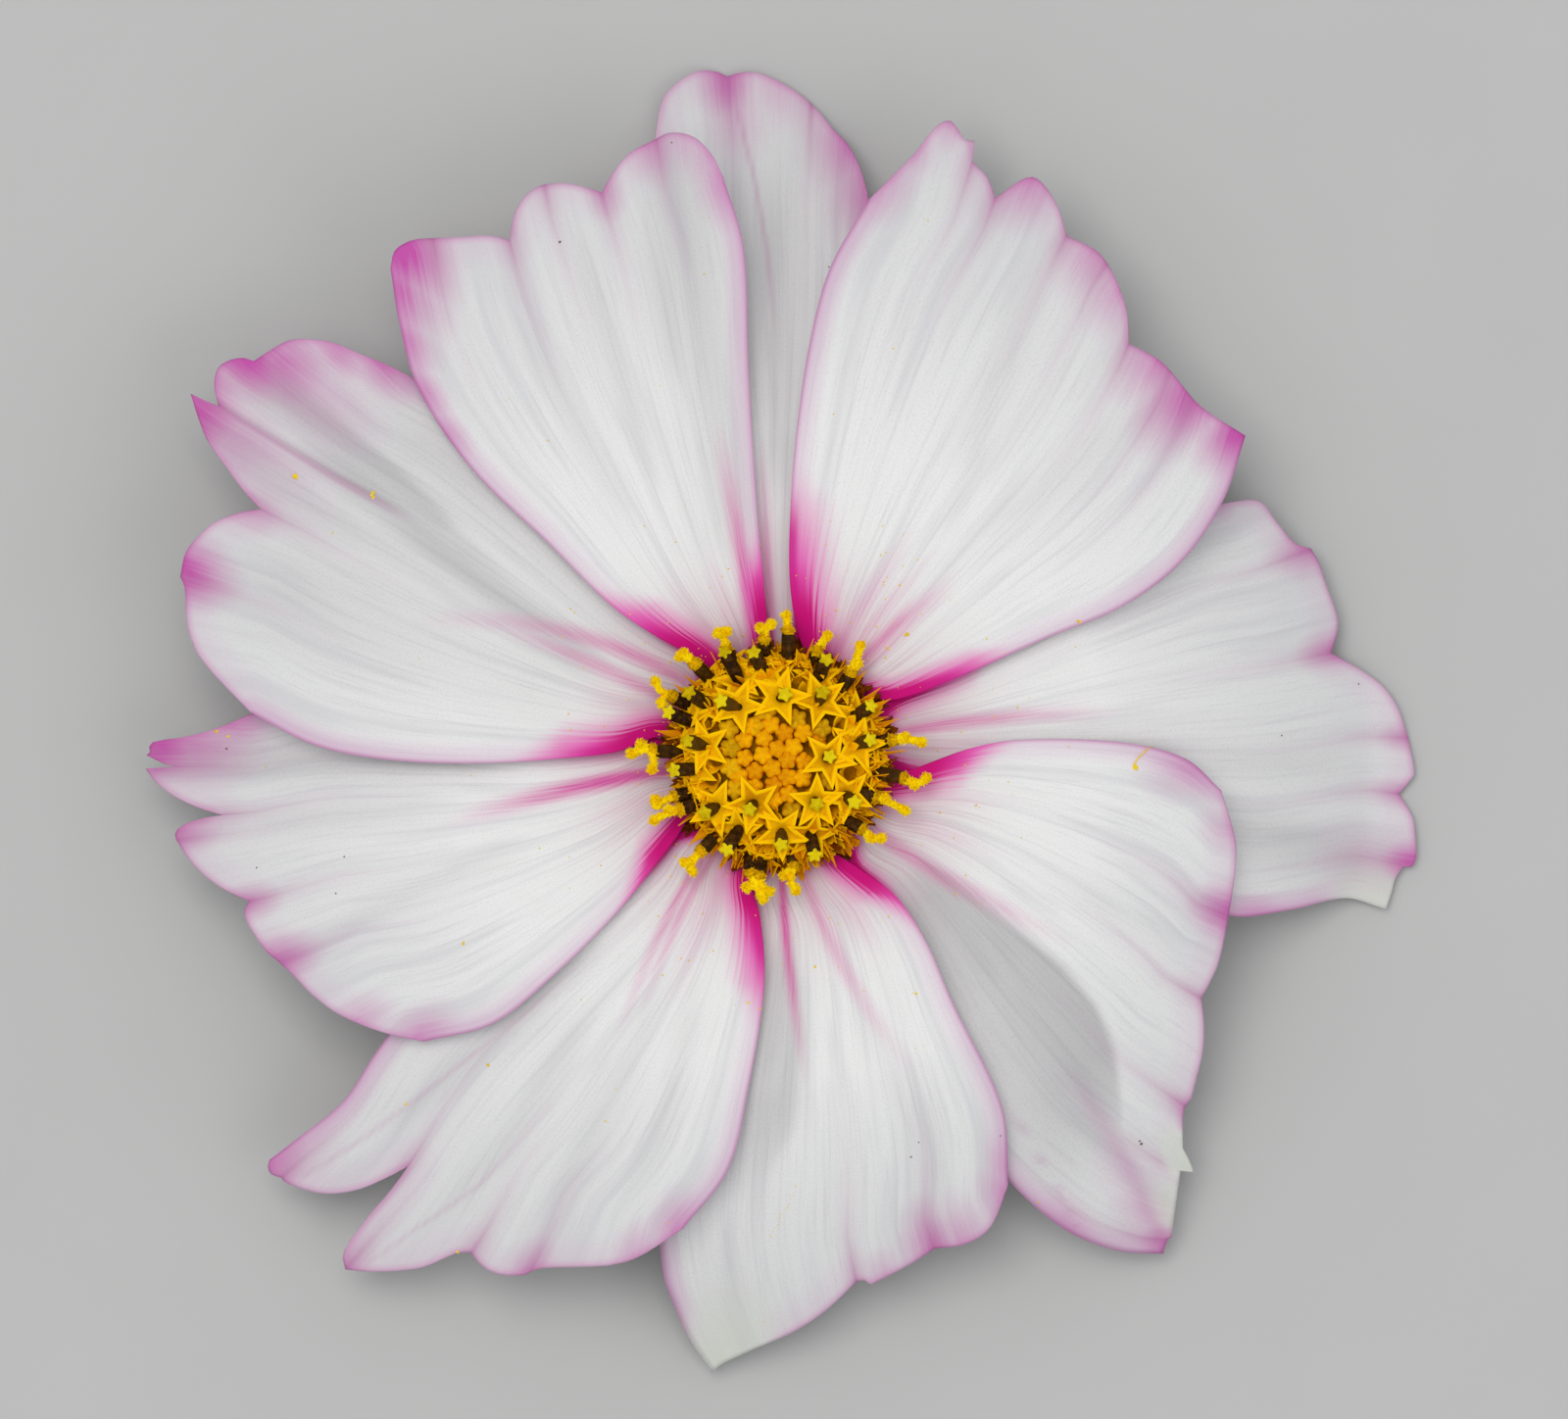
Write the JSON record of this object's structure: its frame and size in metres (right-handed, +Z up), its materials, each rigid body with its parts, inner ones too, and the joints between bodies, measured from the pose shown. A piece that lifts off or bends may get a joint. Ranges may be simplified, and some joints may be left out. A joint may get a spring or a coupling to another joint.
{
  "type": "cosmos flower",
  "caption": "Cosmos bloom with broad toothed white petals edged in pink round a yellow disc, picked with a short bent stem and lying face up.",
  "frame": {"origin": "on the surface the flower lies on, under the middle of its footprint", "axes": "+Z up, the way the bloom faces; +Y towards the narrow petal at the back; +X to the right of that"},
  "size_m": [0.079, 0.081, 0.0134],
  "materials": {
    "petal": "matte",
    "disc": "matte",
    "inner_bract": "matte",
    "outer_bract": "matte",
    "stem": "satin"
  },
  "bodies": {
    "root": {"petal_1": "petal", "petal_2": "petal", "petal_3": "petal", "petal_4": "petal", "petal_5": "petal", "petal_6": "petal", "petal_7": "petal", "petal_8": "petal", "petal_9": "petal", "disc_florets": "disc", "inner_bracts": "inner_bract", "outer_bracts": "outer_bract", "stem": "stem"}
  },
  "joints": []
}
